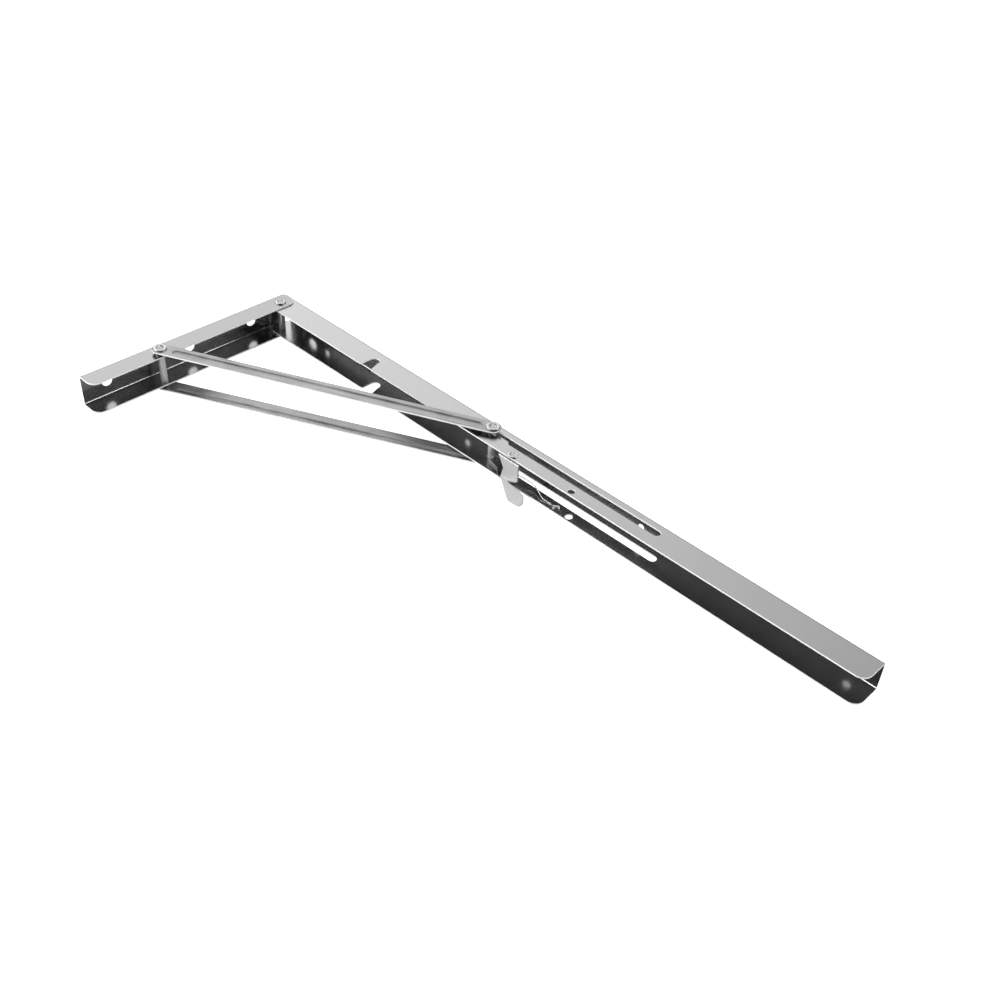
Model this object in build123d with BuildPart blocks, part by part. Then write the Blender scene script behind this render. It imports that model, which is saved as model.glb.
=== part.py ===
"""Folding shelf bracket: two hinged sheet channels, a pair of struts and a release lever.

The part lies on its side as in its open, locked state. +Z runs across the channels, +X along the
shelf channel away from the wall, +Y out of the shelf channel's web. The origin lies on the wall
channel's back, level with the hinge. Millimetres throughout.
"""
import math
import os

from build123d import *

os.makedirs("parts", exist_ok=True)

# Sheet and bends
sheet = 1.2
inner_bend = 1.4
outer_bend = inner_bend + sheet

# Wall channel, measured from the hinge axis
wall_back = 11.8
wall_width = 28.0
wall_depth = 19.4
wall_bottom = 188.2
wall_top = 12.2
wall_web_top = 6.0
wall_lobe_radius = 8.0
wall_heel_radius = 6.5
wall_foot_radius = 7.5
wall_screw_radius = 4.5
wall_screw_heights = (-24.8, -87.5, -166.0)

# Shelf channel, measured from the hinge axis
channel_gap = 0.3
shelf_width = wall_width - 2 * sheet - 2 * channel_gap
shelf_back = 14.8
shelf_edge = 9.3
shelf_end = 592.0
shelf_web_start = 6.0
shelf_end_radius = 8.0
shelf_screw_radius = 2.7
shelf_screw_pitch = 176.0
shelf_first_screw = 45.0
access_hole_radius = 5.0
access_hole_x = 24.8
plain_hole_radius = 3.0
plain_hole = (345.7, -5.3)

# Notch that lets the shelf channel fold over the wall pivot's tube
notch_radius = 4.6
notch_centre = (122.6, 1.2)
notch_flare = 3.0
notch_lip_radius = 1.8

# Pivots, measured from the hinge axis
wall_pivot = (1.5, -122.0)
slide_start = (256.2, 4.5)
slide_end_x = 416.2
lever_pivot = (287.3, -5.9)

# Rivets, tubes and washers
shank_radius = 2.0
lever_shank_radius = 1.75
running_fit = 0.05
face_gap = 0.05
tube_radius = 3.0
slide_tube_radius = 3.2
slot_clearance = 0.15
washer_radius = 4.5
washer_height = 2.8
pivot_head_radius = 5.6
pivot_head_height = 1.3
hinge_head_radius = 4.75
lever_head_radius = 4.25
lever_head_height = 1.1
head_round = 0.7
dimple_radius = 1.7
dimple_depth = 0.6

# Struts
strap_half_width = 6.7
bead_half_width = 3.5
bead_draft = 1.2
bead_wall = 0.5
bead_start = 10.8
bead_end = 8.0

# Lanced cross in the lower flange, which holds the spring's end
anchor = (332.4, -4.7)
petal_reach = 2.9
petal_lift = 40
petal_sheet = 1.0

# Release lever
lever_side_gap = 0.5
nose_x = 259.8
nose_top = 5.4
nose_ramp_start = 272.0
nose_ramp_drop = 4.4
bush_radius = 2.4
lever_web_outer = 10.7
lever_web_left = 277.8
lever_web_right = 297.9
lever_bend = 1.0
tab_lean = 60
tab_rise = 1.6

# Spring
wire_radius = 0.4
coil_radius = 3.05
coil_pitch = 0.85
coil_turns = 3.75
coil_gap = 0.3

hinge_line = Plane(origin=(wall_back, 0, 0))
wall_inner = wall_width / 2 - sheet
shelf_inner = shelf_width / 2 - sheet
wall_face = wall_width / 2
shelf_face = shelf_width / 2
lever_plate_outer = shelf_inner - lever_side_gap
lever_cheek = lever_plate_outer - sheet


def on_axis(point):
    """Return the upright plane through a pivot whose X runs outwards and whose Y is the row's Z."""
    return Plane(origin=(wall_back + point[0], point[1], 0), x_dir=(1, 0, 0), z_dir=(0, -1, 0))


def axis_at(point):
    """Return the turning axis of a pivot."""
    return Axis((wall_back + point[0], point[1], 0), (0, 0, 1))


def petal_plane(turn):
    """Return the tilted plane of one petal of the cross, whose X climbs towards the middle."""
    out = Vector(1, 0, 0).rotate(Axis.Z, turn)
    foot = Vector(wall_back + anchor[0], anchor[1], -shelf_inner) + out * petal_reach
    climb = Vector(0, 0, math.sin(math.radians(petal_lift))) - out * math.cos(math.radians(petal_lift))
    side = Vector(0, 0, 1).cross(out)
    return Plane(origin=foot, x_dir=climb, z_dir=climb.cross(-side))


# Wall channel: a sheet folded twice, its flanges rounded over the hinge and at the foot
with BuildPart() as wall_channel:
    with BuildSketch(Plane(origin=(wall_back, -wall_bottom, 0), x_dir=(1, 0, 0), z_dir=(0, 1, 0))):
        with Locations((-wall_back, 0)):
            RectangleRounded(2 * wall_depth, wall_width, outer_bend, align=(Align.MIN, Align.CENTER))
        with Locations((sheet - wall_back, 0)):
            RectangleRounded(
                2 * wall_depth,
                2 * wall_inner,
                inner_bend,
                align=(Align.MIN, Align.CENTER),
                mode=Mode.SUBTRACT,
            )
    extrude(amount=wall_bottom + wall_top)
    with BuildSketch(hinge_line) as wall_side:
        with Locations((-wall_back, -wall_bottom)):
            Rectangle(wall_depth, wall_bottom + wall_top, align=(Align.MIN, Align.MIN))
        top_corners = wall_side.vertices().group_by(Axis.Y)[-1].sort_by(Axis.X)
        fillet(top_corners[0], wall_heel_radius)
        lobe_corner = wall_side.vertices().group_by(Axis.Y)[-1].sort_by(Axis.X)[-1]
        fillet(lobe_corner, wall_lobe_radius)
        foot_corner = wall_side.vertices().group_by(Axis.Y)[0].sort_by(Axis.X)[-1]
        fillet(foot_corner, wall_foot_radius)
        with Locations((0, 0), wall_pivot):
            Circle(shank_radius + running_fit, mode=Mode.SUBTRACT)
    extrude(amount=wall_width, both=True, mode=Mode.INTERSECT)
    with BuildSketch(hinge_line):
        with Locations((-wall_back, wall_web_top)):
            Rectangle(outer_bend, wall_top, align=(Align.MIN, Align.MIN))
    extrude(amount=wall_inner, both=True, mode=Mode.SUBTRACT)
    with BuildSketch(Plane(origin=(0, 0, 0), x_dir=(0, 1, 0), z_dir=(1, 0, 0))):
        with Locations(*[(height, 0) for height in wall_screw_heights]):
            Circle(wall_screw_radius)
    extrude(amount=outer_bend, mode=Mode.SUBTRACT)
wall_channel.part.label = "wall_channel"

# Shelf channel: folded the same way, with the slot, notch and holes punched before folding
with BuildPart() as shelf_channel:
    with BuildSketch(Plane(origin=(wall_back - shelf_edge, 0, 0), x_dir=(0, 1, 0), z_dir=(1, 0, 0))):
        with Locations((shelf_back, 0)):
            RectangleRounded(
                2 * (shelf_back + shelf_edge),
                shelf_width,
                outer_bend,
                align=(Align.MAX, Align.CENTER),
            )
        with Locations((shelf_back - sheet, 0)):
            RectangleRounded(
                2 * (shelf_back + shelf_edge),
                2 * shelf_inner,
                inner_bend,
                align=(Align.MAX, Align.CENTER),
                mode=Mode.SUBTRACT,
            )
    extrude(amount=shelf_end + shelf_edge)
    heel_angle = math.degrees(math.acos(-shelf_web_start / shelf_edge))
    with BuildSketch(hinge_line) as shelf_side:
        with BuildLine():
            heel = CenterArc((0, 0), shelf_edge, heel_angle, 270 - heel_angle)
            Polyline(
                heel @ 0,
                (-shelf_web_start, shelf_back),
                (shelf_end, shelf_back),
                (shelf_end, -shelf_edge),
                heel @ 1,
            )
        make_face()
        end_corner = shelf_side.vertices().group_by(Axis.X)[-1].sort_by(Axis.Y)[0]
        fillet(end_corner, shelf_end_radius)
        with BuildLine():
            notch_top = CenterArc(notch_centre, notch_radius, 0, 180)
            Polyline(
                notch_top @ 1,
                (notch_centre[0] - notch_radius, -shelf_edge),
                (notch_centre[0] + notch_radius + notch_flare, -shelf_edge),
                notch_top @ 0,
            )
        make_face(mode=Mode.SUBTRACT)
        lips = (
            shelf_side.vertices()
            .filter_by_position(Axis.X, notch_centre[0] - 2 * notch_radius, notch_centre[0] + 2 * notch_radius)
            .group_by(Axis.Y)[0]
        )
        fillet(lips, notch_lip_radius)
        slot_near = slide_start[0] - slot_clearance
        with Locations(((slot_near + slide_end_x) / 2, slide_start[1])):
            SlotCenterToCenter(
                slide_end_x - slot_near,
                2 * (slide_tube_radius + slot_clearance),
                mode=Mode.SUBTRACT,
            )
        with Locations(plain_hole):
            Circle(plain_hole_radius, mode=Mode.SUBTRACT)
        with Locations((0, 0)):
            Circle(shank_radius + running_fit, mode=Mode.SUBTRACT)
        with Locations(lever_pivot):
            Circle(lever_shank_radius + running_fit, mode=Mode.SUBTRACT)
    extrude(amount=shelf_width, both=True, mode=Mode.INTERSECT)
    with BuildSketch(Plane(origin=(wall_back, shelf_back, 0), x_dir=(1, 0, 0), z_dir=(0, 1, 0))):
        with Locations(*[(shelf_first_screw + i * shelf_screw_pitch, 0) for i in range(4)]):
            Circle(shelf_screw_radius)
        with Locations((access_hole_x, 0)):
            Circle(access_hole_radius)
    extrude(amount=-outer_bend, mode=Mode.SUBTRACT)
    # The cross: slit lengthwise and crosswise through the lower flange, its four petals bent up
    with BuildSketch(hinge_line.offset(-shelf_face)):
        with Locations(anchor):
            Rectangle(2 * petal_reach, 2 * petal_reach, rotation=45)
    extrude(amount=sheet, mode=Mode.SUBTRACT)
    with BuildSketch(petal_plane(45), petal_plane(135), petal_plane(225), petal_plane(315)):
        with BuildLine():
            Polyline(
                (-0.6, 0.2 - petal_reach),
                (0, 0.2 - petal_reach),
                (petal_reach - 0.2, -0.1),
                (petal_reach - 0.2, 0.1),
                (0, petal_reach - 0.2),
                (-0.6, petal_reach - 0.2),
                (-0.6, 0.2 - petal_reach),
            )
        make_face()
    extrude(amount=-petal_sheet)
shelf_channel.part.label = "shelf_channel"

# Struts: pressed strips with round ends and one long bead; the upper one is drawn, the lower mirrored
strap_rise = channel_gap + sheet
strap_run = (slide_start[0] - wall_pivot[0], slide_start[1] - wall_pivot[1])
strap_reach = math.hypot(*strap_run)
slide_seat = shelf_face + washer_height
wall_seat = wall_face + washer_height
strap_dir = Vector(strap_run[0], strap_run[1], -strap_rise).normalized()
strap_up = (Vector(0, 0, 1) - strap_dir * strap_dir.Z).normalized()
strap_plane = Plane(
    origin=(wall_back + wall_pivot[0], wall_pivot[1], wall_seat + face_gap),
    x_dir=strap_dir,
    z_dir=strap_up,
)
with BuildPart() as upper_strap:
    with BuildSketch(strap_plane):
        with Locations((strap_reach / 2, 0)):
            SlotCenterToCenter(strap_reach, 2 * strap_half_width)
    extrude(amount=sheet)
    bead_length = strap_reach - bead_start - bead_end
    bead_middle = bead_start + bead_length / 2
    with BuildSketch(strap_plane):
        with Locations((bead_middle, 0)):
            SlotOverall(bead_length, 2 * bead_half_width)
    with BuildSketch(strap_plane.offset(-sheet)):
        with Locations((bead_middle, 0)):
            SlotOverall(bead_length - 2 * bead_draft, 2 * (bead_half_width - bead_draft))
    loft()
    with BuildSketch(strap_plane.offset(sheet)):
        with Locations((bead_middle, 0)):
            SlotOverall(bead_length - 2 * bead_wall, 2 * (bead_half_width - bead_wall))
    with BuildSketch(strap_plane):
        with Locations((bead_middle, 0)):
            SlotOverall(
                bead_length - 2 * (bead_wall + bead_draft),
                2 * (bead_half_width - bead_wall - bead_draft),
            )
    loft(mode=Mode.SUBTRACT)
    with BuildSketch(strap_plane):
        with Locations((0, 0), (strap_reach, 0)):
            Circle(shank_radius + running_fit)
    extrude(amount=sheet, mode=Mode.SUBTRACT)
upper_strap.part.label = "upper_strap"

with BuildPart() as lower_strap:
    mirror(upper_strap.part, about=Plane.XY)
lower_strap.part.label = "lower_strap"

# Hinge rivet and its tube
with BuildPart() as hinge_rivet:
    with BuildSketch(on_axis((0, 0))) as half:
        Rectangle(shank_radius, wall_face, align=(Align.MIN, Align.MIN))
        with Locations((0, wall_face)):
            Rectangle(hinge_head_radius, pivot_head_height, align=(Align.MIN, Align.MIN))
        fillet(half.vertices().group_by(Axis.X)[-1].sort_by(Axis.Y)[-1], head_round)
        with Locations((0, wall_face + pivot_head_height)):
            Ellipse(dimple_radius, dimple_depth, mode=Mode.SUBTRACT)
    revolve(axis=axis_at((0, 0)))
    mirror(about=Plane.XY)
hinge_rivet.part.label = "hinge_rivet"

with BuildPart() as hinge_spacer:
    with BuildSketch(hinge_line):
        Circle(tube_radius)
        Circle(shank_radius + running_fit, mode=Mode.SUBTRACT)
    extrude(amount=shelf_inner - face_gap, both=True)
hinge_spacer.part.label = "hinge_spacer"

# Wall pivot: the shank with its tube, and above and below it a washer and a headed end
with BuildPart() as wall_pivot_pin:
    with BuildSketch(hinge_line):
        with Locations(wall_pivot):
            Circle(shank_radius)
    extrude(amount=wall_face, both=True)
wall_pivot_pin.part.label = "wall_pivot_pin"

with BuildPart() as wall_pivot_spacer:
    with BuildSketch(hinge_line):
        with Locations(wall_pivot):
            Circle(tube_radius)
            Circle(shank_radius + running_fit, mode=Mode.SUBTRACT)
    extrude(amount=wall_inner, both=True)
wall_pivot_spacer.part.label = "wall_pivot_spacer"

with BuildPart() as upper_pivot_washer:
    with BuildSketch(hinge_line.offset(wall_face + face_gap)):
        with Locations(wall_pivot):
            Circle(washer_radius)
            Circle(shank_radius + running_fit, mode=Mode.SUBTRACT)
    extrude(amount=washer_height - face_gap)
    chamfer(upper_pivot_washer.edges().filter_by(GeomType.CIRCLE).group_by(SortBy.RADIUS)[-1], 0.3)
upper_pivot_washer.part.label = "upper_pivot_washer"

with BuildPart() as lower_pivot_washer:
    mirror(upper_pivot_washer.part, about=Plane.XY)
lower_pivot_washer.part.label = "lower_pivot_washer"

with BuildPart() as upper_pivot_head:
    head_seat = wall_seat + sheet + 2 * face_gap
    with BuildSketch(on_axis(wall_pivot)) as half:
        with Locations((0, wall_face + face_gap)):
            Rectangle(shank_radius, head_seat - wall_face - face_gap, align=(Align.MIN, Align.MIN))
        with Locations((0, head_seat)):
            Rectangle(pivot_head_radius, pivot_head_height, align=(Align.MIN, Align.MIN))
        fillet(half.vertices().group_by(Axis.X)[-1].sort_by(Axis.Y)[-1], head_round)
        with Locations((0, head_seat + pivot_head_height)):
            Ellipse(dimple_radius, dimple_depth, mode=Mode.SUBTRACT)
    revolve(axis=axis_at(wall_pivot))
upper_pivot_head.part.label = "upper_pivot_head"

with BuildPart() as lower_pivot_head:
    mirror(upper_pivot_head.part, about=Plane.XY)
lower_pivot_head.part.label = "lower_pivot_head"

# Slide pin: one rivet headed at both ends, with its tube in the slots and two washers
with BuildPart() as slide_pin:
    slide_head_seat = slide_seat + sheet + 2 * face_gap
    with BuildSketch(on_axis(slide_start)) as half:
        Rectangle(shank_radius, slide_head_seat, align=(Align.MIN, Align.MIN))
        with Locations((0, slide_head_seat)):
            Rectangle(pivot_head_radius, pivot_head_height, align=(Align.MIN, Align.MIN))
        fillet(half.vertices().group_by(Axis.X)[-1].sort_by(Axis.Y)[-1], head_round)
        with Locations((0, slide_head_seat + pivot_head_height)):
            Ellipse(dimple_radius, dimple_depth, mode=Mode.SUBTRACT)
    revolve(axis=axis_at(slide_start))
    mirror(about=Plane.XY)
slide_pin.part.label = "slide_pin"

with BuildPart() as slide_spacer:
    with BuildSketch(hinge_line):
        with Locations(slide_start):
            Circle(slide_tube_radius)
            Circle(shank_radius + running_fit, mode=Mode.SUBTRACT)
    extrude(amount=shelf_face, both=True)
slide_spacer.part.label = "slide_spacer"

with BuildPart() as upper_slide_washer:
    with BuildSketch(hinge_line.offset(shelf_face + face_gap)):
        with Locations(slide_start):
            Circle(washer_radius)
            Circle(shank_radius + running_fit, mode=Mode.SUBTRACT)
    extrude(amount=washer_height - face_gap)
    chamfer(upper_slide_washer.edges().filter_by(GeomType.CIRCLE).group_by(SortBy.RADIUS)[-1], 0.3)
upper_slide_washer.part.label = "upper_slide_washer"

with BuildPart() as lower_slide_washer:
    mirror(upper_slide_washer.part, about=Plane.XY)
lower_slide_washer.part.label = "lower_slide_washer"

# Release lever: one folded plate with two cheeks, a web between them and a finger tab leaning out
ramp_end = (nose_ramp_start + nose_ramp_drop, nose_top - nose_ramp_drop)
tab_height = lever_cheek - tab_rise
with BuildPart() as release_lever:
    with BuildSketch(hinge_line.offset(lever_cheek)) as cheek:
        with BuildLine():
            Polyline(
                (nose_x, -1.5),
                (nose_x, nose_top),
                (nose_ramp_start, nose_top),
                ramp_end,
                (284.0, ramp_end[1] - 1.5),
                (291.0, -2.6),
                (lever_web_right, 2 * sheet - lever_web_outer),
                (lever_web_right, -lever_web_outer),
                (lever_web_left, -lever_web_outer),
                (270.5, -4.0),
                (nose_x, -1.5),
            )
        make_face()
        fillet(cheek.vertices().group_by(Axis.Y)[-1], 1.0)
        with Locations(lever_pivot):
            Circle(lever_shank_radius + running_fit, mode=Mode.SUBTRACT)
    extrude(amount=sheet)
    with BuildSketch(hinge_line.offset(-lever_plate_outer)) as lower_cheek:
        with BuildLine():
            Polyline(
                (nose_x, -1.5),
                (nose_x, nose_top),
                (nose_ramp_start, nose_top),
                ramp_end,
                (284.0, ramp_end[1] - 1.5),
                (292.6, -2.6),
                (292.6, -7.4),
                (288.4, -9.2),
                (288.4, -lever_web_outer),
                (lever_web_left, -lever_web_outer),
                (270.5, -4.0),
                (nose_x, -1.5),
            )
        make_face()
        fillet(lower_cheek.vertices().group_by(Axis.Y)[-1], 1.0)
        with Locations(lever_pivot):
            Circle(lever_shank_radius + running_fit, mode=Mode.SUBTRACT)
        with Locations((lever_pivot[0] + coil_radius, lever_pivot[1])):
            Circle(wire_radius + 0.2, mode=Mode.SUBTRACT)
    extrude(amount=sheet)
    with BuildSketch(Plane(origin=(wall_back, -lever_web_outer, 0), x_dir=(1, 0, 0), z_dir=(0, -1, 0))):
        with BuildLine():
            Polyline(
                (lever_web_left, lever_plate_outer),
                (282.9, 0.6),
                (280.8, 0.4 - tab_height),
                (280.8, -lever_plate_outer),
                (288.4, -lever_plate_outer),
                (288.6, 0.7 - lever_cheek),
                (lever_web_right, -4.7),
                (lever_web_right, lever_plate_outer),
                (lever_web_left, lever_plate_outer),
            )
        make_face()
    extrude(amount=-sheet)
    tab_out = Vector(0, -math.cos(math.radians(tab_lean)), math.sin(math.radians(tab_lean)))
    tab_plane = Plane(origin=(wall_back, -lever_web_outer, -tab_height), x_dir=(1, 0, 0), z_dir=tab_out)
    with BuildSketch(tab_plane) as tab:
        with BuildLine():
            Polyline(
                (280.9, 0.4),
                (281.3, -0.7),
                (296.4, -11.3),
                (299.6, -13.0),
                (312.9, -12.5),
                (309.9, -6.2),
                (306.9, -3.2),
                (302.0, -2.1),
                (289.8, -1.6),
                (288.4, 0.4),
                (280.9, 0.4),
            )
        make_face()
        fillet(tab.vertices().group_by(Axis.X)[-1], 3.0)
        fillet(tab.vertices().filter_by_position(Axis.X, wall_back + 306.5, wall_back + 307.5), 2.0)
    extrude(amount=-sheet)
    web_edges = (
        release_lever.edges()
        .filter_by(Axis.X)
        .filter_by_position(Axis.Y, -lever_web_outer - 0.01, -lever_web_outer + 0.01)
        .filter_by_position(Axis.Z, lever_plate_outer - 0.01, lever_plate_outer + 0.01)
    )
    fillet(web_edges, lever_bend)
release_lever.part.label = "release_lever"

with BuildPart() as lever_rivet:
    with BuildSketch(on_axis(lever_pivot)) as half:
        Rectangle(lever_shank_radius, shelf_face, align=(Align.MIN, Align.MIN))
        with Locations((0, shelf_face)):
            Rectangle(lever_head_radius, lever_head_height, align=(Align.MIN, Align.MIN))
        fillet(half.vertices().group_by(Axis.X)[-1].sort_by(Axis.Y)[-1], head_round)
        with Locations((0, shelf_face + lever_head_height)):
            Ellipse(dimple_radius, dimple_depth, mode=Mode.SUBTRACT)
    revolve(axis=axis_at(lever_pivot))
    mirror(about=Plane.XY)
lever_rivet.part.label = "lever_rivet"

with BuildPart() as lever_spacer:
    with BuildSketch(hinge_line):
        with Locations(lever_pivot):
            Circle(bush_radius)
            Circle(lever_shank_radius + running_fit, mode=Mode.SUBTRACT)
    extrude(amount=lever_cheek - face_gap, both=True)
lever_spacer.part.label = "lever_spacer"

# Return spring: a coil round the bush, one end hooked down into the lever, the other in the cross
coil_bottom = wire_radius + coil_gap - lever_cheek
coil_top = coil_bottom + coil_pitch * coil_turns
hook_height = wire_radius + face_gap - shelf_inner
hook_drop = hook_height - coil_top
coil_x = wall_back + lever_pivot[0]
with BuildPart() as lever_spring:
    with BuildLine() as coil:
        Helix(
            coil_pitch,
            coil_pitch * coil_turns,
            coil_radius,
            center=(coil_x, lever_pivot[1], coil_bottom),
            lefthand=True,
        )
    with BuildSketch(Plane(origin=coil.line @ 0, z_dir=coil.line % 0)):
        Circle(wire_radius)
    sweep(path=coil.line, is_frenet=True)
    with BuildLine() as leg:
        Spline(
            coil.line @ 1,
            (wall_back + 306.4, -0.9, coil_top + 0.35 * hook_drop),
            (wall_back + 311.8, -2.5, coil_top + 0.5 * hook_drop),
            (wall_back + 317.0, -4.6, coil_top + 0.7 * hook_drop),
            (wall_back + anchor[0] - math.sqrt(2) * petal_reach - 0.3, anchor[1], hook_height),
            tangents=(coil.line % 1, (1, 0, 0)),
        )
    with BuildSketch(Plane(origin=leg.line @ 0, z_dir=leg.line % 0)):
        Circle(wire_radius)
    sweep(path=leg.line)
    with BuildLine() as tail:
        Line(coil.line @ 0, (coil_x + coil_radius, lever_pivot[1], -lever_plate_outer))
    with BuildSketch(Plane(origin=tail.line @ 0, z_dir=tail.line % 0)):
        Circle(wire_radius)
    sweep(path=tail.line)
    with Locations(coil.line @ 0):
        Sphere(wire_radius)
lever_spring.part.label = "lever_spring"

for piece in (
    wall_channel,
    shelf_channel,
    upper_strap,
    lower_strap,
    hinge_rivet,
    hinge_spacer,
    wall_pivot_pin,
    wall_pivot_spacer,
    upper_pivot_washer,
    lower_pivot_washer,
    upper_pivot_head,
    lower_pivot_head,
    slide_pin,
    slide_spacer,
    upper_slide_washer,
    lower_slide_washer,
    release_lever,
    lever_rivet,
    lever_spacer,
    lever_spring,
):
    export_step(piece.part, f"parts/{piece.part.label}.step")
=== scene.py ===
"""Looks of the folding shelf bracket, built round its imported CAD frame.

Every length is in metres, in the CAD part's own frame: +X along the shelf channel, +Y out of its web
and +Z across the channels, upwards as the bracket lies on its side.
"""

import logging
import math
from dataclasses import dataclass
from enum import Enum, auto
from typing import Any, Dict, List, Optional, Tuple, Union

import bmesh
import bpy
from mathutils import Matrix, Vector
from mathutils.bvhtree import BVHTree

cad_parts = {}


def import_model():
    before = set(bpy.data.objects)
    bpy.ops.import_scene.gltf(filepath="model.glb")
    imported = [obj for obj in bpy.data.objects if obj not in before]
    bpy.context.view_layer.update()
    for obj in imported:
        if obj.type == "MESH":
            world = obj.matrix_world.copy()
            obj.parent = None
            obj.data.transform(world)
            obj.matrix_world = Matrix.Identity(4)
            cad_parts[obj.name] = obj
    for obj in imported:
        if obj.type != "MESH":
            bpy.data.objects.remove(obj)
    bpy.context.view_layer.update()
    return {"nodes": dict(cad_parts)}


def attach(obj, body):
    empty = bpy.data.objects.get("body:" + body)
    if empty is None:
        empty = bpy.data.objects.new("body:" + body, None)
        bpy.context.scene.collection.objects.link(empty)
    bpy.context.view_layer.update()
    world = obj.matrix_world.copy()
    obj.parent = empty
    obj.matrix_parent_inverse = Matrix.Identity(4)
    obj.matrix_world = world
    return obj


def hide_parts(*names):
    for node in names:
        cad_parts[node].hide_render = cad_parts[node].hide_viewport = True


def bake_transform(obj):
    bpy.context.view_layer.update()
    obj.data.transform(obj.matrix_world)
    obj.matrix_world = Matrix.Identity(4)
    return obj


LOG = logging.getLogger("shelf_bracket")

Point = Tuple[float, float, float]
Pair = Tuple[float, float]
Colour = Tuple[float, float, float, float]
Nodes = Dict[str, bpy.types.Object]
Finishes = Dict[str, bpy.types.Material]

# Places of the Mix node's sockets, several of which share one name
MIX_FACTOR = 0
MIX_VALUES = (2, 3)
MIX_COLOURS = (6, 7)
MIX_VALUE_OUT = 0
MIX_COLOUR_OUT = 2

# Copied CAD sheets
WELD_DISTANCE = 2e-6
FLAT_ANGLE = math.radians(0.6)
SHARP_ANGLE = math.radians(40)
SKIN_DEPTH = 0.0016
RAY_START = 1e-5
RAY_REACH = 0.05
LEVER_WEB_BOX = ((0.28, -0.04, -0.02), (0.33, -0.0093, 0.0087))

# Turned rivets
TURNED_STEPS = 48
TURNED_WELD = 1e-6
MIRROR_WELD = 1e-5
CRISP_ANGLE = math.radians(50)
UNDERSIDE_BEVEL = (0.0002, 0.00025)
LIP_SHARE = 0.42
LIP_ANGLES = (0, 18, 36, 54, 72)
DIMPLE_RIM = 0.0002
DIMPLE_CURVE = (
    (1.0, 0.1),
    (0.9, 0.4),
    (0.76, 0.7),
    (0.58, 0.93),
    (0.42, 1.0),
    (0.3, 0.95),
    (0.2, 0.6),
    (0.0, 0.5),
)


def grey(value: float) -> Colour:
    """Return a linear grey."""
    return (value, value, value, 1.0)


def about(middle: float, spread: float) -> Pair:
    """Return the range that reaches a spread to both sides of a middle."""
    return (middle - spread, middle + spread)


def mesh_from(shape: bmesh.types.BMesh, name: str, *materials: bpy.types.Material) -> bpy.types.Mesh:
    """Turn a finished bmesh into a mesh.

    Args:
        shape: the bmesh, which is freed.
        name: the mesh's name.
        materials: its materials, in the order of the faces' material numbers.

    Returns:
        The mesh.
    """
    mesh = bpy.data.meshes.new(name)
    shape.to_mesh(mesh)
    shape.free()
    for material in materials:
        mesh.materials.append(material)
    return mesh


def add_to_scene(name: str, data: Any) -> bpy.types.Object:
    """Put a mesh, camera or lamp in the scene as an object at the origin and return it."""
    made = bpy.data.objects.new(name, data)
    bpy.context.scene.collection.objects.link(made)
    return made


@dataclass(frozen=True)
class Noise:
    """A procedural noise pattern.

    Attributes:
        scale: how fine the pattern is.
        detail: how many finer layers it has.
        roughness: how strong the finer layers are.
    """

    scale: float
    detail: float
    roughness: float


DRAWN_LINES = Noise(1.0, 2.0, 0.5)
CLOUDS = Noise(42.0, 3.0, 0.55)
SPECKS = Noise(900.0, 2.0, 0.5)


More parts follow.
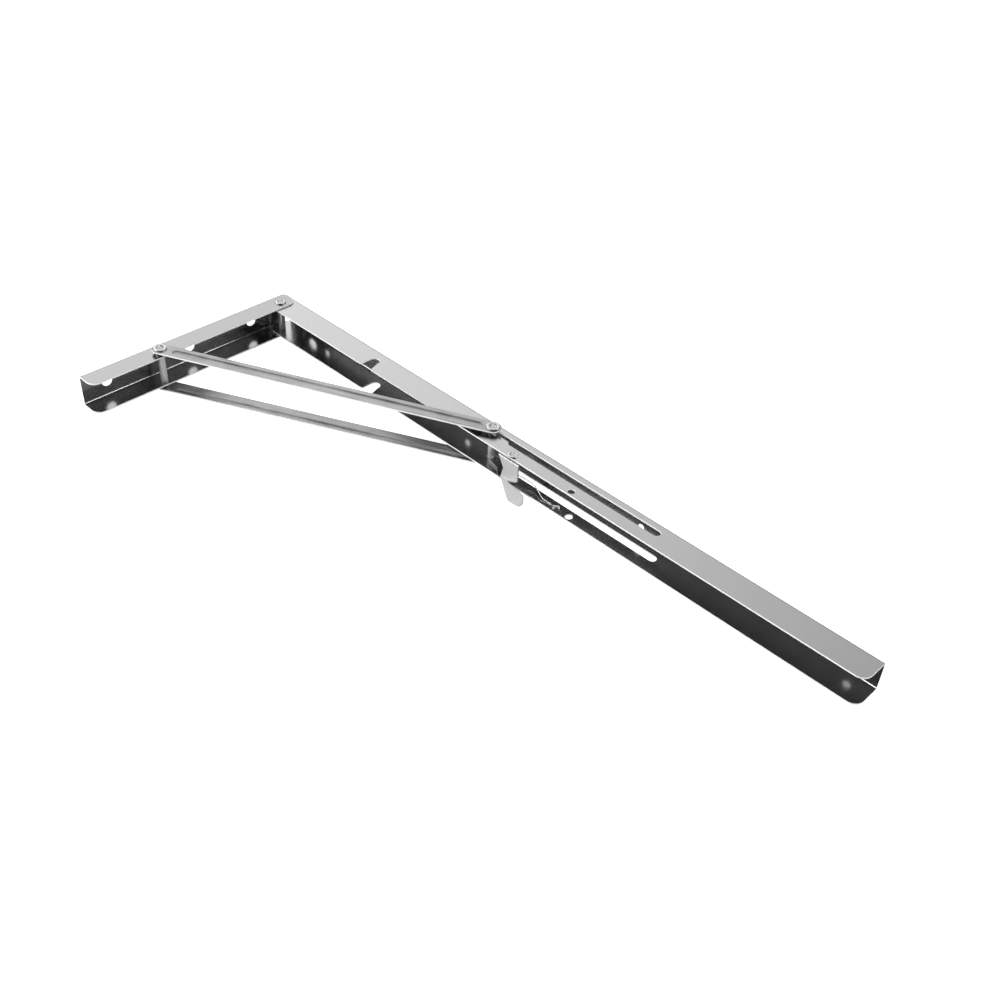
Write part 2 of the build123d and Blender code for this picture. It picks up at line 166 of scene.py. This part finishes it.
@dataclass
class Shading:
    """A node tree with short ways to add nodes and to join them.

    Attributes:
        tree: the node tree of a material or of the world.
    """

    tree: bpy.types.NodeTree

    def add(self, kind: str, **settings: str) -> bpy.types.Node:
        """Add a node.

        Args:
            kind: the node's type without its leading ShaderNode.
            settings: the node's own properties by name.

        Returns:
            The new node.
        """
        node = self.tree.nodes.new(f"ShaderNode{kind}")
        for name, value in settings.items():
            setattr(node, name, value)
        return node

    def feed(self, node: bpy.types.Node, values: Dict[Union[int, str], Any]) -> bpy.types.Node:
        """Give a node's inputs their values.

        Args:
            node: the node.
            values: by input, a socket to join it to or a fixed value.

        Returns:
            The same node.
        """
        for place, value in values.items():
            if isinstance(value, bpy.types.NodeSocket):
                self.tree.links.new(value, node.inputs[place])
            else:
                node.inputs[place].default_value = value
        return node

    def noise(self, vector: bpy.types.NodeSocket, pattern: Noise) -> bpy.types.NodeSocket:
        """Look a place up in a noise pattern and return the value's socket."""
        node = self.feed(
            self.add("TexNoise"),
            {
                "Vector": vector,
                "Scale": pattern.scale,
                "Detail": pattern.detail,
                "Roughness": pattern.roughness,
            },
        )
        return node.outputs["Fac"]

    def mix_values(
        self, first: bpy.types.NodeSocket, second: bpy.types.NodeSocket, share: float
    ) -> bpy.types.NodeSocket:
        """Blend two values by the second one's share and return the socket."""
        node = self.feed(
            self.add("Mix"), {MIX_FACTOR: share, MIX_VALUES[0]: first, MIX_VALUES[1]: second}
        )
        return node.outputs[MIX_VALUE_OUT]

    def mix_colours(
        self, first: Any, second: Any, share: Any, blend_type: str = "MIX"
    ) -> bpy.types.NodeSocket:
        """Blend two colours.

        Args:
            first: a colour or its socket.
            second: the other colour or its socket.
            share: the second one's share or its socket.
            blend_type: the way in which they are blended.

        Returns:
            The blended colour's socket.
        """
        node = self.feed(
            self.add("Mix", data_type="RGBA", blend_type=blend_type),
            {MIX_FACTOR: share, MIX_COLOURS[0]: first, MIX_COLOURS[1]: second},
        )
        return node.outputs[MIX_COLOUR_OUT]

    def carry_over(self, value: bpy.types.NodeSocket, source: Pair, target: Pair) -> bpy.types.NodeSocket:
        """Carry a value over from one range to another, held within it, and return the socket."""
        node = self.feed(
            self.add("MapRange"),
            {
                "Value": value,
                "From Min": source[0],
                "From Max": source[1],
                "To Min": target[0],
                "To Max": target[1],
            },
        )
        return node.outputs["Result"]

    def calculate(self, operation: str, *values: Any) -> bpy.types.NodeSocket:
        """Add a sum on numbers or their sockets and return the result's socket."""
        node = self.feed(self.add("Math", operation=operation), dict(enumerate(values)))
        return node.outputs[0]

    def lean(self, direction: bpy.types.NodeSocket, way: Point) -> bpy.types.NodeSocket:
        """Return the socket that says how far a direction leans the given way."""
        node = self.feed(self.add("VectorMath", operation="DOT_PRODUCT"), {0: direction, 1: way})
        return node.outputs["Value"]

    def grey_ramp(self, value: bpy.types.NodeSocket, stops: Tuple[Pair, ...]) -> bpy.types.NodeSocket:
        """Look a value up on a ramp of greys.

        Args:
            value: the value's socket.
            stops: the ramp's places and greys, in rising order.

        Returns:
            The colour's socket.
        """
        node = self.feed(self.add("ValToRGB"), {"Fac": value})
        elements = node.color_ramp.elements
        first, last = elements
        first.position, first.color = stops[0][0], grey(stops[0][1])
        last.position, last.color = stops[-1][0], grey(stops[-1][1])
        for position, tone in stops[1:-1]:
            elements.new(position).color = grey(tone)
        return node.outputs["Color"]


class Grain(Enum):
    """The way in which a finish's drawn lines run, as an angle about Z in degrees from +X."""

    ALONG_SHELF = 0.0
    ALONG_WALL = 90.0
    ALONG_STRUT = 26.41
    ROUND = None


@dataclass(frozen=True)
class MetalFinish:
    """A steel surface with drawn lines, faint clouding and specks.

    Attributes:
        name: the material's name.
        grain: the direction of the drawn lines.
        tone: linear grey of the metal, its middle and its spread.
        roughness: its middle and its spread.
        line_pitch: lines to a metre, across the grain.
        line_stretch: changes to a metre along a drawn line.
        relief: height of the lines, in steps of line_height.
        metallic: how bare the steel is, under 1 where it is dull and scatters light.
        line_height: one step of relief.
        clouds_in_tone: share of the clouds in the tone, beside the lines.
        specks_in_gloss: share of the specks in the roughness, beside the clouds.
        specks_in_relief: share of the specks in the relief, beside the lines.
        cloud_range: the values between which the clouds mostly lie.
    """

    name: str
    grain: Grain
    tone: Pair
    roughness: Pair
    line_pitch: float = 2600.0
    line_stretch: float = 14.0
    relief: float = 0.05
    metallic: float = 1.0
    line_height: float = 0.00006
    clouds_in_tone: float = 0.55
    specks_in_gloss: float = 0.35
    specks_in_relief: float = 0.3
    cloud_range: Pair = (0.25, 0.75)

    def material(self) -> bpy.types.Material:
        """Build the node material.

        Returns:
            The finished Blender material.
        """
        mat = bpy.data.materials.new(self.name)
        mat.use_nodes = True
        shading = Shading(mat.node_tree)
        place = shading.add("TexCoord").outputs["Object"]
        lines = self.drawn_lines(shading, place)
        clouds = shading.noise(place, CLOUDS)
        specks = shading.noise(place, SPECKS)
        darkest, lightest = about(*self.tone)
        tone_share = shading.mix_values(lines, clouds, self.clouds_in_tone)
        tone = shading.mix_colours(grey(darkest), grey(lightest), tone_share)
        wear = shading.mix_values(clouds, specks, self.specks_in_gloss)
        roughness = shading.carry_over(wear, self.cloud_range, about(*self.roughness))
        height = shading.mix_values(lines, specks, self.specks_in_relief)
        bump = shading.feed(
            shading.add("Bump"),
            {"Strength": 1.0, "Distance": self.line_height * self.relief, "Height": height},
        )
        shading.feed(
            mat.node_tree.nodes["Principled BSDF"],
            {
                "Metallic": self.metallic,
                "Base Color": tone,
                "Roughness": roughness,
                "Normal": bump.outputs["Normal"],
            },
        )
        return mat

    def drawn_lines(self, shading: Shading, place: bpy.types.NodeSocket) -> bpy.types.NodeSocket:
        """Add the drawn lines, or an even grain where the finish has no direction.

        Args:
            shading: the material's node tree.
            place: the socket of the place on the object.

        Returns:
            The socket that carries the lines.
        """
        has_direction = self.grain is not Grain.ROUND
        angle = math.radians(self.grain.value) if has_direction else 0.0
        along = self.line_stretch if has_direction else self.line_pitch
        turned = shading.feed(
            shading.add("Mapping", vector_type="POINT"), {"Vector": place, "Rotation": (0.0, 0.0, -angle)}
        )
        stretched = shading.feed(
            shading.add("VectorMath", operation="MULTIPLY"),
            {0: turned.outputs["Vector"], 1: (along, self.line_pitch, self.line_pitch)},
        )
        return shading.noise(stretched.outputs["Vector"], DRAWN_LINES)


METAL_FINISHES = (
    MetalFinish("shelf_sheet", Grain.ALONG_SHELF, tone=(0.42, 0.03), roughness=(0.2, 0.04)),
    # Same steel as shelf_sheet, toned darker: painted shade on the wall channel.
    MetalFinish("wall_sheet_painted_shade", Grain.ALONG_WALL, tone=(0.34, 0.025), roughness=(0.2, 0.04)),
    MetalFinish(
        "strut_sheet",
        Grain.ALONG_STRUT,
        tone=(0.38, 0.34),
        roughness=(0.42, 0.12),
        line_pitch=800.0,
        line_stretch=40.0,
        relief=3.0,
    ),
    MetalFinish(
        "lever_sheet", Grain.ROUND, tone=(0.7, 0.08), roughness=(0.5, 0.06), relief=0.03, metallic=0.65
    ),
    # Near-white and not metallic: a painted highlight on sheared faces and rounded edges.
    MetalFinish(
        "sheared_edge_painted_highlight", Grain.ROUND, tone=(0.96, 0.03), roughness=(0.5, 0.06), line_pitch=1500.0, metallic=0.0
    ),
    MetalFinish(
        "rivet_steel", Grain.ROUND, tone=(0.5, 0.06), roughness=(0.12, 0.03), line_pitch=1800.0, relief=0.04
    ),
    MetalFinish(
        "tube_steel",
        Grain.ROUND,
        tone=(0.95, 0.03),
        roughness=(0.18, 0.04),
        line_pitch=2200.0,
        relief=0.03,
        metallic=0.7,
    ),
    MetalFinish("washer_steel", Grain.ROUND, tone=(0.4, 0.05), roughness=(0.26, 0.05), line_pitch=1800.0),
    MetalFinish(
        "wire_steel",
        Grain.ROUND,
        tone=(0.7, 0.05),
        roughness=(0.3, 0.04),
        line_pitch=3000.0,
        relief=0.03,
        metallic=0.6,
    ),
)


@dataclass(frozen=True)
class PressedPiece:
    """A folded or pressed sheet: its CAD form with worn, rounded edges.

    Attributes:
        node: the CAD node that it stands for.
        body: the moving body that carries it.
        finish: name of the finish of the sheet's skin.
        cut: name of the finish of its sheared faces and rounded edges, by default a near-white painted
            highlight.
        edge_radius: radius worn on the edges.
        segments: steps round each edge.
        raw_box: opposite corners of a box in which every face takes the sheared edges' finish.
    """

    node: str
    body: str
    finish: str
    cut: str = "sheared_edge_painted_highlight"
    edge_radius: float = 0.0003
    segments: int = 2
    raw_box: Optional[Tuple[Point, Point]] = None

    def is_raw(self, place: Vector) -> bool:
        """Tell whether a point lies in the box that takes the sheared edges' finish."""
        if self.raw_box is None:
            return False
        low, high = self.raw_box
        return all(a < value < b for a, value, b in zip(low, place, high))

    def mark_sheared(self, shape: bmesh.types.BMesh) -> int:
        """Give the faces that cut through the sheet the second material.

        Args:
            shape: the sheet's mesh.

        Returns:
            How many faces were marked.
        """
        tree = BVHTree.FromBMesh(shape)
        marked = 0
        for face in shape.faces:
            inward = -face.normal
            middle = face.calc_center_median()
            depth = tree.ray_cast(middle + inward * RAY_START, inward, RAY_REACH)[3]
            # Marked faces take the cut finish, by default a painted highlight.
            if depth is None or depth > SKIN_DEPTH or self.is_raw(middle):
                face.material_index = 1
                marked += 1
        return marked

    def build(self, source: bpy.types.Object, finishes: Finishes) -> bpy.types.Object:
        """Copy the CAD form, clean it and round its edges.

        Args:
            source: the CAD node's object.
            finishes: the shared materials by name.

        Returns:
            The finished piece, riding on its body.
        """
        shape = bmesh.new()
        shape.from_mesh(source.data)
        bmesh.ops.remove_doubles(shape, verts=shape.verts, dist=WELD_DISTANCE)
        LOG.info("%s: %d sheared faces", self.node, self.mark_sheared(shape))
        bmesh.ops.dissolve_limit(
            shape,
            angle_limit=FLAT_ANGLE,
            verts=shape.verts,
            edges=shape.edges,
            delimit={"MATERIAL"},
        )
        mesh = mesh_from(shape, f"{self.node}_sheet", finishes[self.finish], finishes[self.cut])
        mesh.shade_smooth()
        piece = add_to_scene(f"{self.node}_dressed", mesh)
        self.wear(piece)
        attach(piece, self.body)
        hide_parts(self.node)
        return piece

    def wear(self, piece: bpy.types.Object) -> None:
        """Round the piece's edges, give the rounding the cut finish (by default a painted highlight) and even
        out its shading.
        """
        edge = piece.modifiers.new("worn_edges", "BEVEL")
        edge.width = self.edge_radius
        edge.segments = self.segments
        edge.limit_method = "ANGLE"
        edge.angle_limit = SHARP_ANGLE
        edge.use_clamp_overlap = True
        edge.harden_normals = True
        # The rounding takes the cut finish, by default a painted highlight.
        edge.material = 1
        smooth = piece.modifiers.new("even_shade", "WEIGHTED_NORMAL")
        smooth.keep_sharp = True


PRESSED_PIECES = (
    PressedPiece("wall_channel", "wall_arm", "wall_sheet_painted_shade"),
    PressedPiece("shelf_channel", "shelf_arm", "shelf_sheet"),
    PressedPiece("upper_strap", "brace", "strut_sheet", edge_radius=0.00028),
    PressedPiece("lower_strap", "brace", "strut_sheet", edge_radius=0.00028),
    PressedPiece(
        "release_lever",
        "lever",
        "shelf_sheet",
        cut="lever_sheet",
        edge_radius=0.00016,
        raw_box=LEVER_WEB_BOX,
    ),
)


class Ends(Enum):
    """The ends of a rivet that a turned piece has."""

    BOTH = auto()
    UPPER = auto()
    LOWER = auto()


@dataclass(frozen=True)
class Rivet:
    """A rivet turned from bar, its end rolled over into a dished head.

    Attributes:
        node: the CAD node that it stands for.
        body: the moving body that carries it.
        centre: the rivet's axis, at mid-width.
        seat: height of the head's underside.
        head_radius: radius of the head.
        head_height: height of the head.
        shank_radius: radius of the plain shank.
        shank_from: height at which the shank starts above mid-width.
        ends: the ends that it has.
        dimple_share: the punched dimple's radius as a share of the head's.
        dimple_slope: the dimple's depth as a share of its radius.
    """

    node: str
    body: str
    centre: Pair
    seat: float
    head_radius: float
    head_height: float = 0.0013
    shank_radius: float = 0.002
    shank_from: float = 0.0
    ends: Ends = Ends.BOTH
    dimple_share: float = 0.54
    dimple_slope: float = 0.33

    def profile(self) -> List[Pair]:
        """Return the upper half's outline as radii and heights, up the shank and in to the axis."""
        top = self.seat + self.head_height
        lip = self.head_height * LIP_SHARE
        bevel_width, bevel_height = UNDERSIDE_BEVEL
        points = [
            (self.shank_radius, self.shank_from),
            (self.shank_radius, self.seat),
            (self.head_radius - bevel_width, self.seat),
            (self.head_radius, self.seat + bevel_height),
        ]
        for degrees in LIP_ANGLES:
            angle = math.radians(degrees)
            reach = self.head_radius - lip + lip * math.cos(angle)
            points.append((reach, top - lip + lip * math.sin(angle)))
        dimple = self.dimple_share * self.head_radius
        depth = self.dimple_slope * dimple
        points.append((dimple + DIMPLE_RIM, top))
        points.extend((dimple * reach, top - depth * sink) for reach, sink in DIMPLE_CURVE)
        return points

    def turned(self) -> bmesh.types.BMesh:
        """Spin the outline round its axis, with the ends that the piece has, and return the shape."""
        shape = bmesh.new()
        outline = self.profile()
        if self.ends is not Ends.BOTH:
            outline = [(0.0, self.shank_from)] + outline
        row = [shape.verts.new((radius, 0.0, height)) for radius, height in outline]
        edges = [shape.edges.new(pair) for pair in zip(row, row[1:])]
        bmesh.ops.spin(
            shape,
            geom=row + edges,
            cent=(0, 0, 0),
            axis=(0, 0, 1),
            angle=math.tau,
            steps=TURNED_STEPS,
            use_merge=True,
        )
        bmesh.ops.remove_doubles(shape, verts=shape.verts, dist=TURNED_WELD)
        if self.ends is Ends.BOTH:
            whole = shape.verts[:] + shape.edges[:] + shape.faces[:]
            bmesh.ops.mirror(shape, geom=whole, axis="Z", merge_dist=MIRROR_WELD)
        elif self.ends is Ends.LOWER:
            bmesh.ops.scale(shape, vec=(1, 1, -1), verts=shape.verts)
        bmesh.ops.translate(shape, vec=(*self.centre, 0.0), verts=shape.verts)
        bmesh.ops.remove_doubles(shape, verts=shape.verts, dist=TURNED_WELD)
        bmesh.ops.recalc_face_normals(shape, faces=shape.faces)
        return shape

    def build(self, finish: bpy.types.Material) -> bpy.types.Object:
        """Make the rivet.

        Args:
            finish: the material to wear.

        Returns:
            The finished rivet, riding on its body.
        """
        mesh = mesh_from(self.turned(), f"{self.node}_turned", finish)
        mesh.shade_smooth()
        piece = add_to_scene(f"{self.node}_dressed", mesh)
        edge = piece.modifiers.new("crisp_edges", "EDGE_SPLIT")
        edge.split_angle = CRISP_ANGLE
        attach(piece, self.body)
        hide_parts(self.node)
        return piece


@dataclass(frozen=True)
class Spring:
    """The wire spring, a fixed copy of its CAD form: its coil sits at the lever, its tail in the shelf
    channel.

    Attributes:
        tail: where the wire stops following the shelf channel; not used.
        coil: where it starts to follow the lever; not used.
    """

    tail: Point = (0.3405, -0.0059, -0.01)
    coil: Point = (0.3035, -0.0059, -0.01)

    def build(self, source: bpy.types.Object, finish: bpy.types.Material) -> bpy.types.Object:
        """Copy the CAD form, give it its finish and hide the CAD node.

        Args:
            source: the CAD node's object.
            finish: the material to wear.

        Returns:
            The finished spring.
        """
        mesh = source.data.copy()
        mesh.materials.clear()
        mesh.materials.append(finish)
        piece = add_to_scene("lever_spring_dressed", mesh)
        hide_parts("lever_spring")
        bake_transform(piece)
        return piece


@dataclass(frozen=True)
class Bracket:
    """The whole bracket: sheets, rivets, small turned pieces and the spring.

    Attributes:
        hinge: axis of the main hinge.
        wall_pivot: axis of the struts on the wall channel.
        slide: axis of the sliding pin when open.
        lever: axis of the release lever.
    """

    hinge: Pair = (0.0118, 0.0)
    wall_pivot: Pair = (0.0133, -0.122)
    slide: Pair = (0.268, 0.0045)
    lever: Pair = (0.2991, -0.0059)

    def rivets(self) -> List[Rivet]:
        """Return the rivets with their sizes."""
        whole = [
            Rivet("hinge_rivet", "wall_arm", self.hinge, seat=0.014, head_radius=0.00475),
            Rivet("slide_pin", "slider", self.slide, seat=0.0166, head_radius=0.0056),
            Rivet(
                "lever_rivet",
                "shelf_arm",
                self.lever,
                seat=0.0125,
                head_radius=0.00425,
                head_height=0.0011,
                shank_radius=0.00175,
            ),
        ]
        pivot_ends = [
            Rivet(
                node,
                "brace",
                self.wall_pivot,
                seat=0.0181,
                head_radius=0.0056,
                shank_from=0.01405,
                ends=ends,
            )
            for node, ends in (("upper_pivot_head", Ends.UPPER), ("lower_pivot_head", Ends.LOWER))
        ]
        return whole + pivot_ends

    def dress(self, nodes: Nodes, finishes: Finishes) -> None:
        """Build the sheets, the rivets and the spring, and give the small CAD pieces their finish.

        Args:
            nodes: the CAD nodes by name.
            finishes: the shared materials by name.
        """
        for pressed in PRESSED_PIECES:
            made = pressed.build(nodes[pressed.node], finishes)
            LOG.info("sheet piece %s: %d faces", made.name, len(made.data.polygons))
        for rivet in self.rivets():
            made = rivet.build(finishes["rivet_steel"])
            LOG.info("rivet %s: %d faces", made.name, len(made.data.polygons))
        kept = {
            "tube_steel": ("hinge_spacer", "wall_pivot_spacer", "slide_spacer", "lever_spacer"),
            "rivet_steel": ("wall_pivot_pin",),
            "washer_steel": (
                "upper_pivot_washer",
                "lower_pivot_washer",
                "upper_slide_washer",
                "lower_slide_washer",
            ),
        }
        for finish, names in kept.items():
            for name in names:
                nodes[name].data.materials.clear()
                nodes[name].data.materials.append(finishes[finish])
                LOG.info("kept CAD node %s", name)
        Spring().build(nodes["lever_spring"], finishes["wire_steel"])


@dataclass(frozen=True)
class Lamp:
    """A soft box.

    Attributes:
        name: the lamp's name.
        place: where it stands.
        aim: the point that it faces.
        size: width and height.
        power: watts.
    """

    name: str
    place: Point
    aim: Point
    size: Pair
    power: float

    def build(self) -> bpy.types.Object:
        """Add the lamp to the scene and return it."""
        data = bpy.data.lights.new(self.name, "AREA")
        data.shape = "RECTANGLE"
        data.size, data.size_y = self.size
        data.energy = self.power
        lamp = add_to_scene(self.name, data)
        lamp.location = self.place
        lamp.rotation_mode = "QUATERNION"
        lamp.rotation_quaternion = (Vector(self.aim) - Vector(self.place)).to_track_quat("-Z", "Y")
        return lamp


BRACKET_MIDDLE = (0.3, -0.04, 0.0)
LAMPS = (
    Lamp("top_softbox", (0.35, -0.1, 1.6), BRACKET_MIDDLE, (1.2, 1.2), 4.0),
    Lamp("front_strip", (-0.45, -1.3, 0.34), BRACKET_MIDDLE, (2.2, 0.5), 26.0),
    Lamp("right_strip", (1.35, 0.75, 0.42), (0.0, -0.09, 0.0), (1.4, 0.3), 11.0),
)


@dataclass(frozen=True)
class PhotoCamera:
    """The camera at the photograph's place.

    Attributes:
        place: its position.
        right: the image's right-hand direction.
        up: the image's upward direction.
        lens: focal length in millimetres.
        sensor_width: width of the sensor in millimetres.
        clip: the nearest and farthest depth that it sees.
    """

    place: Point = (0.780728, -0.545228, 0.556719)
    right: Point = (0.7117067, 0.7008663, 0.0475387)
    up: Point = (-0.4694116, 0.424143, 0.7744388)
    lens: float = 43.7669
    sensor_width: float = 36.0
    clip: Pair = (0.01, 50.0)

    def build(self) -> None:
        """Add the camera and make it the scene's own."""
        data = bpy.data.cameras.new("photo_camera")
        data.sensor_width = self.sensor_width
        data.sensor_fit = "HORIZONTAL"
        data.lens = self.lens
        data.clip_start, data.clip_end = self.clip
        camera = add_to_scene("photo_camera", data)
        right, up = Vector(self.right), Vector(self.up)
        turn = Matrix((right, up, right.cross(up))).transposed().to_4x4()
        camera.matrix_world = Matrix.Translation(self.place) @ turn
        bpy.context.scene.camera = camera


@dataclass(frozen=True)
class Floor:
    """The pale floor, which shows white to the camera and keeps the bracket's shadow.

    Attributes:
        height: where it lies, under the lowest rivet head.
        half_size: half its width.
        middle: X of its middle.
        tones: its grey to the camera, and a painted black to mirrored rays, so that the metal does not
            reflect the lit floor.
        seen_glow: glow added for the camera.
        mirrored_glow: a painted reflection, glow added for mirrored rays only, under the bracket and far from
            it.
        glow_centre: X and Y of the glow's middle.
        glow_reach: its half length along X and Y.
        glow_edge: where it starts to fade and where it has faded, as shares of the half length.
    """

    height: float = -0.0195
    half_size: float = 12.0
    middle: float = 0.3
    tones: Pair = (0.86, 0.0)
    seen_glow: float = 1.0
    mirrored_glow: Pair = (0.34, 0.08)
    glow_centre: Pair = (0.28, -0.06)
    glow_reach: Pair = (0.62, 0.4)
    glow_edge: Pair = (0.7, 1.6)

    def build(self) -> None:
        """Lay the floor."""
        shape = bmesh.new()
        bmesh.ops.create_grid(shape, x_segments=2, y_segments=2, size=self.half_size)
        bmesh.ops.translate(shape, vec=(self.middle, 0.0, self.height), verts=shape.verts)
        floor = add_to_scene("floor", mesh_from(shape, "floor", self.material()))

    def material(self) -> bpy.types.Material:
        """Build the floor's material and return it."""
        mat = bpy.data.materials.new("pale_floor")
        mat.use_nodes = True
        mat.node_tree.nodes.clear()
        shading = Shading(mat.node_tree)
        rays = shading.add("LightPath").outputs
        # Black for mirrored rays: a painted dark reflection of the floor.
        tone = shading.mix_colours(grey(self.tones[0]), grey(self.tones[1]), rays["Is Glossy Ray"])
        paint = shading.feed(shading.add("BsdfDiffuse"), {"Color": tone})
        # A glow seen only in reflections, brightest round the bracket: a painted reflection.
        mirrored = shading.calculate("MULTIPLY", rays["Is Glossy Ray"], self.glow_round_bracket(shading))
        strength = shading.calculate("MULTIPLY_ADD", rays["Is Camera Ray"], self.seen_glow, mirrored)
        glow = shading.feed(shading.add("Emission"), {"Color": grey(1.0), "Strength": strength})
        both = shading.feed(shading.add("AddShader"), {0: paint.outputs[0], 1: glow.outputs[0]})
        shading.feed(shading.add("OutputMaterial"), {"Surface": both.outputs[0]})
        return mat

    def glow_round_bracket(self, shading: Shading) -> bpy.types.NodeSocket:
        """Return the socket of a glow, a painted reflection, that fades away from the bracket."""
        spread = shading.feed(
            shading.add("Mapping", vector_type="TEXTURE"),
            {
                "Vector": shading.add("TexCoord").outputs["Object"],
                "Location": (*self.glow_centre, self.height),
                "Scale": (*self.glow_reach, 1.0),
            },
        )
        reach = shading.feed(
            shading.add("VectorMath", operation="LENGTH"), {0: spread.outputs["Vector"]}
        )
        return shading.carry_over(reach.outputs["Value"], self.glow_edge, self.mirrored_glow)


@dataclass(frozen=True)
class Room:
    """The world: white to the camera, and to the metal bright above and behind and darker in front.

    Attributes:
        bright_way: the way in which the room grows brighter.
        brightness: its ramp, as places along that way and greys.
        dark_band: the ramp over the height that gives the dark band low round the room.
        side_gain: how much the strength grows towards the wall channel's side.
        side_middle: the strength in the middle of the room.
        side_least: the least strength.
    """

    bright_way: Point = (-0.35, 0.72, 0.6)
    brightness: Tuple[Pair, ...] = ((0.2, 0.05), (0.82, 1.0))
    dark_band: Tuple[Pair, ...] = ((0.0, 0.5), (0.22, 0.1), (0.44, 1.0))
    side_gain: float = 1.68
    side_middle: float = 0.47
    side_least: float = 0.7

    def build(self) -> None:
        """Build the world and make it the scene's own."""
        world = bpy.data.worlds.new("studio_room")
        bpy.context.scene.world = world
        world.use_nodes = True
        world.node_tree.nodes.clear()
        shading = Shading(world.node_tree)
        direction = shading.add("TexCoord").outputs["Generated"]
        bright = shading.grey_ramp(shading.lean(direction, self.bright_way), self.brightness)
        band = shading.grey_ramp(shading.lean(direction, (0.0, 0.0, 1.0)), self.dark_band)
        towards_wall = shading.lean(direction, (-1.0, 0.0, 0.0))
        side = shading.calculate("MULTIPLY_ADD", towards_wall, self.side_gain, self.side_middle)
        room = shading.feed(
            shading.add("Background"),
            {
                "Color": shading.mix_colours(bright, band, 1.0, "MULTIPLY"),
                "Strength": shading.calculate("MAXIMUM", side, self.side_least),
            },
        )
        seen = shading.feed(shading.add("Background"), {"Color": grey(1.0), "Strength": 1.0})
        choose = shading.feed(
            shading.add("MixShader"),
            {
                "Fac": shading.add("LightPath").outputs["Is Camera Ray"],
                1: room.outputs[0],
                2: seen.outputs[0],
            },
        )
        shading.feed(shading.add("OutputWorld"), {"Surface": choose.outputs[0]})


def main() -> None:
    """Build the bracket's looks in order and report each piece."""
    logging.basicConfig(level=logging.INFO, format="%(name)s: %(message)s")
    frame: Dict[str, Any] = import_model()
    finishes = {finish.name: finish.material() for finish in METAL_FINISHES}
    Bracket().dress(frame["nodes"], finishes)
    PhotoCamera().build()
    Floor().build()
    Room().build()
    for lamp in LAMPS:
        lamp.build()
    scene = bpy.context.scene
    scene.view_settings.view_transform = "Standard"


if __name__ == "__main__":
    main()
